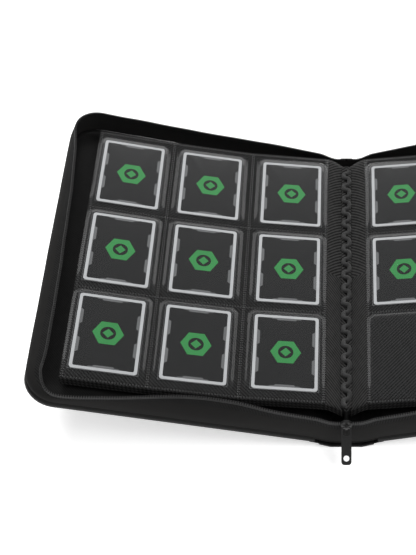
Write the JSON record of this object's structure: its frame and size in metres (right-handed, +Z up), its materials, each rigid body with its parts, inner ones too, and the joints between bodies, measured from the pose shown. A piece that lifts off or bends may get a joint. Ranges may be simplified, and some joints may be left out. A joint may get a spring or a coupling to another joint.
{
  "type": "card album",
  "caption": "Zip-round binder album, open at the middle, with stitched leaves of clear pockets holding sleeved cards.",
  "frame": {"origin": "centre of the flat underside of the spine, on the surface the album stands on", "axes": "+X to the right across the open album, +Y along the spine away from the zip slider, +Z up"},
  "size_m": [0.5998, 0.3904, 0.1037],
  "materials": {
    "leatherette": "fine grained, satin",
    "board": "raw grey board",
    "lining": "matt woven",
    "gusset_cloth": "matt, slightly sheened",
    "zip_tape": "fine diagonal weave",
    "zip_coil": "semi-matt nylon",
    "leaf_cloth": "fine diagonal weave",
    "pocket_film": "clear, glossy",
    "card": "printed, in a clear sleeve",
    "thread": "thick twisted cord",
    "zip_metal": "dark satin"
  },
  "bodies": {
    "spine": {"spine_skin": "leatherette", "spine_board": "board", "spine_lining": "lining", "book_fold": "leaf_cloth", "gutter_stitch": "thread", "end_gusset_front": "gusset_cloth", "end_gusset_back": "gusset_cloth"},
    "slider": {"slider_body": "zip_metal"},
    "pull": {"pull_tab": "zip_metal"},
    "left_cover": {"left_cover_skin": "leatherette", "left_cover_board": "board", "left_cover_lining": "lining", "left_gusset": "gusset_cloth", "left_zip_tape": "zip_tape", "left_zip_coil": "zip_coil"},
    "left_margin_3": {"left_margin_3": "leaf_cloth"},
    "left_leaf_3": {"left_leaf_3": "leaf_cloth", "left_film_3": "pocket_film"},
    "left_margin_2": {"left_margin_2": "leaf_cloth"},
    "left_leaf_2": {"left_leaf_2": "leaf_cloth", "left_film_2": "pocket_film"},
    "left_margin_1": {"left_margin_1": "leaf_cloth"},
    "left_leaf_1": {"left_leaf_1": "leaf_cloth", "left_film_1": "pocket_film"},
    "left_card_11": {"left_card_11": "card"},
    "left_card_12": {"left_card_12": "card"},
    "left_card_13": {"left_card_13": "card"},
    "left_card_21": {"left_card_21": "card"},
    "left_card_22": {"left_card_22": "card"},
    "left_card_23": {"left_card_23": "card"},
    "left_card_31": {"left_card_31": "card"},
    "left_card_32": {"left_card_32": "card"},
    "left_card_33": {"left_card_33": "card"},
    "right_cover": {"right_cover_skin": "leatherette", "right_cover_board": "board", "right_cover_lining": "lining", "right_gusset": "gusset_cloth", "right_zip_tape": "zip_tape", "right_zip_coil": "zip_coil"},
    "right_margin_3": {"right_margin_3": "leaf_cloth"},
    "right_leaf_3": {"right_leaf_3": "leaf_cloth", "right_film_3": "pocket_film"},
    "right_margin_2": {"right_margin_2": "leaf_cloth"},
    "right_leaf_2": {"right_leaf_2": "leaf_cloth", "right_film_2": "pocket_film"},
    "right_margin_1": {"right_margin_1": "leaf_cloth"},
    "right_leaf_1": {"right_leaf_1": "leaf_cloth", "right_film_1": "pocket_film"},
    "right_card_11": {"right_card_11": "card"},
    "right_card_12": {"right_card_12": "card"},
    "right_card_13": {"right_card_13": "card"},
    "right_card_21": {"right_card_21": "card"},
    "right_card_22": {"right_card_22": "card"},
    "right_card_23": {"right_card_23": "card"}
  },
  "joints": [
    {"name": "left_cover_hinge", "type": "hinge", "parent": "spine", "child": "left_cover", "pos_m": [-0.02916, 0, 0.0098], "axis": [0, 1, 0], "range_deg": [-13.87, 76.13]},
    {"name": "left_margin_3_swing", "type": "hinge", "parent": "spine", "child": "left_margin_3", "pos_m": [-0.02307, 0, 0.02899], "axis": [0, 1, 0], "range_deg": [-14.62, 80]},
    {"name": "left_leaf_3_lift", "type": "hinge", "parent": "left_margin_3", "child": "left_leaf_3", "pos_m": [-0.02035, 0, 0.04408], "axis": [0, -1, 0], "range_deg": [-66, 0]},
    {"name": "left_margin_2_swing", "type": "hinge", "parent": "spine", "child": "left_margin_2", "pos_m": [-0.02273, 0, 0.02944], "axis": [0, 1, 0], "range_deg": [-14.62, 80]},
    {"name": "left_leaf_2_lift", "type": "hinge", "parent": "left_margin_2", "child": "left_leaf_2", "pos_m": [-0.02035, 0, 0.04008], "axis": [0, -1, 0], "range_deg": [-33.05, 0]},
    {"name": "left_margin_1_swing", "type": "hinge", "parent": "spine", "child": "left_margin_1", "pos_m": [-0.0224, 0, 0.02988], "axis": [0, 1, 0], "range_deg": [-14.62, 80]},
    {"name": "left_leaf_1_lift", "type": "hinge", "parent": "left_margin_1", "child": "left_leaf_1", "pos_m": [-0.02035, 0, 0.03608], "axis": [0, -1, 0], "range_deg": [-16.55, 0]},
    {"name": "left_card_11_slide", "type": "slide", "parent": "left_leaf_3", "child": "left_card_11", "axis": [-0.9942, 0, 0.1079], "range_m": [-0.002, 0.002]},
    {"name": "left_card_12_slide", "type": "slide", "parent": "left_leaf_3", "child": "left_card_12", "axis": [-0.9819, 0, 0.1894], "range_m": [-0.002, 0.002]},
    {"name": "left_card_13_slide", "type": "slide", "parent": "left_leaf_3", "child": "left_card_13", "axis": [-0.9744, 0, 0.2248], "range_m": [-0.002, 0.002]},
    {"name": "left_card_21_slide", "type": "slide", "parent": "left_leaf_3", "child": "left_card_21", "axis": [-0.9942, 0, 0.1079], "range_m": [-0.002, 0.002]},
    {"name": "left_card_22_slide", "type": "slide", "parent": "left_leaf_3", "child": "left_card_22", "axis": [-0.9819, 0, 0.1894], "range_m": [-0.002, 0.002]},
    {"name": "left_card_23_slide", "type": "slide", "parent": "left_leaf_3", "child": "left_card_23", "axis": [-0.9744, 0, 0.2248], "range_m": [-0.002, 0.002]},
    {"name": "left_card_31_slide", "type": "slide", "parent": "left_leaf_3", "child": "left_card_31", "axis": [-0.9942, 0, 0.1079], "range_m": [-0.002, 0.002]},
    {"name": "left_card_32_slide", "type": "slide", "parent": "left_leaf_3", "child": "left_card_32", "axis": [-0.9819, 0, 0.1894], "range_m": [-0.002, 0.002]},
    {"name": "left_card_33_slide", "type": "slide", "parent": "left_leaf_3", "child": "left_card_33", "axis": [-0.9744, 0, 0.2248], "range_m": [-0.002, 0.002]},
    {"name": "right_cover_hinge", "type": "hinge", "parent": "spine", "child": "right_cover", "pos_m": [0.02916, 0, 0.0098], "axis": [0, -1, 0], "range_deg": [-13.87, 76.13]},
    {"name": "right_margin_3_swing", "type": "hinge", "parent": "spine", "child": "right_margin_3", "pos_m": [0.02307, 0, 0.02899], "axis": [0, -1, 0], "range_deg": [-14.62, 80]},
    {"name": "right_leaf_3_lift", "type": "hinge", "parent": "right_margin_3", "child": "right_leaf_3", "pos_m": [0.02035, 0, 0.04408], "axis": [0, 1, 0], "range_deg": [-66, 0]},
    {"name": "right_margin_2_swing", "type": "hinge", "parent": "spine", "child": "right_margin_2", "pos_m": [0.02273, 0, 0.02944], "axis": [0, -1, 0], "range_deg": [-14.62, 80]},
    {"name": "right_leaf_2_lift", "type": "hinge", "parent": "right_margin_2", "child": "right_leaf_2", "pos_m": [0.02035, 0, 0.04008], "axis": [0, 1, 0], "range_deg": [-33.05, 0]},
    {"name": "right_margin_1_swing", "type": "hinge", "parent": "spine", "child": "right_margin_1", "pos_m": [0.0224, 0, 0.02988], "axis": [0, -1, 0], "range_deg": [-14.62, 80]},
    {"name": "right_leaf_1_lift", "type": "hinge", "parent": "right_margin_1", "child": "right_leaf_1", "pos_m": [0.02035, 0, 0.03608], "axis": [0, 1, 0], "range_deg": [-16.55, 0]},
    {"name": "right_card_11_slide", "type": "slide", "parent": "right_leaf_3", "child": "right_card_11", "axis": [0.9942, 0, 0.1079], "range_m": [-0.002, 0.002]},
    {"name": "right_card_12_slide", "type": "slide", "parent": "right_leaf_3", "child": "right_card_12", "axis": [0.9819, 0, 0.1894], "range_m": [-0.002, 0.002]},
    {"name": "right_card_13_slide", "type": "slide", "parent": "right_leaf_3", "child": "right_card_13", "axis": [0.9744, 0, 0.2248], "range_m": [-0.002, 0.002]},
    {"name": "right_card_21_slide", "type": "slide", "parent": "right_leaf_3", "child": "right_card_21", "axis": [0.9942, 0, 0.1079], "range_m": [-0.002, 0.002]},
    {"name": "right_card_22_slide", "type": "slide", "parent": "right_leaf_3", "child": "right_card_22", "axis": [0.9819, 0, 0.1894], "range_m": [-0.002, 0.002]},
    {"name": "right_card_23_slide", "type": "slide", "parent": "right_leaf_3", "child": "right_card_23", "axis": [0.9744, 0, 0.2248], "range_m": [-0.002, 0.002]},
    {"name": "slider_run", "type": "slide", "parent": "spine", "child": "slider", "axis": [0, 0, 1], "range_m": [0, 0.012]},
    {"name": "pull_swing", "type": "hinge", "parent": "slider", "child": "pull", "pos_m": [0, -0.18035, 0.034], "axis": [1, 0, 0], "range_deg": [-110, 20]}
  ],
  "couplings": [
    {"joint": "left_margin_3_swing", "follows": "left_cover_hinge", "ratio": 1.0502},
    {"joint": "left_margin_2_swing", "follows": "left_cover_hinge", "ratio": 1.0502},
    {"joint": "left_leaf_2_lift", "follows": "left_leaf_3_lift", "ratio": 0.5},
    {"joint": "left_margin_1_swing", "follows": "left_cover_hinge", "ratio": 1.0502},
    {"joint": "left_leaf_1_lift", "follows": "left_leaf_3_lift", "ratio": 0.25},
    {"joint": "right_margin_3_swing", "follows": "right_cover_hinge", "ratio": 1.0502},
    {"joint": "right_margin_2_swing", "follows": "right_cover_hinge", "ratio": 1.0502},
    {"joint": "right_leaf_2_lift", "follows": "right_leaf_3_lift", "ratio": 0.5},
    {"joint": "right_margin_1_swing", "follows": "right_cover_hinge", "ratio": 1.0502},
    {"joint": "right_leaf_1_lift", "follows": "right_leaf_3_lift", "ratio": 0.25}
  ]
}
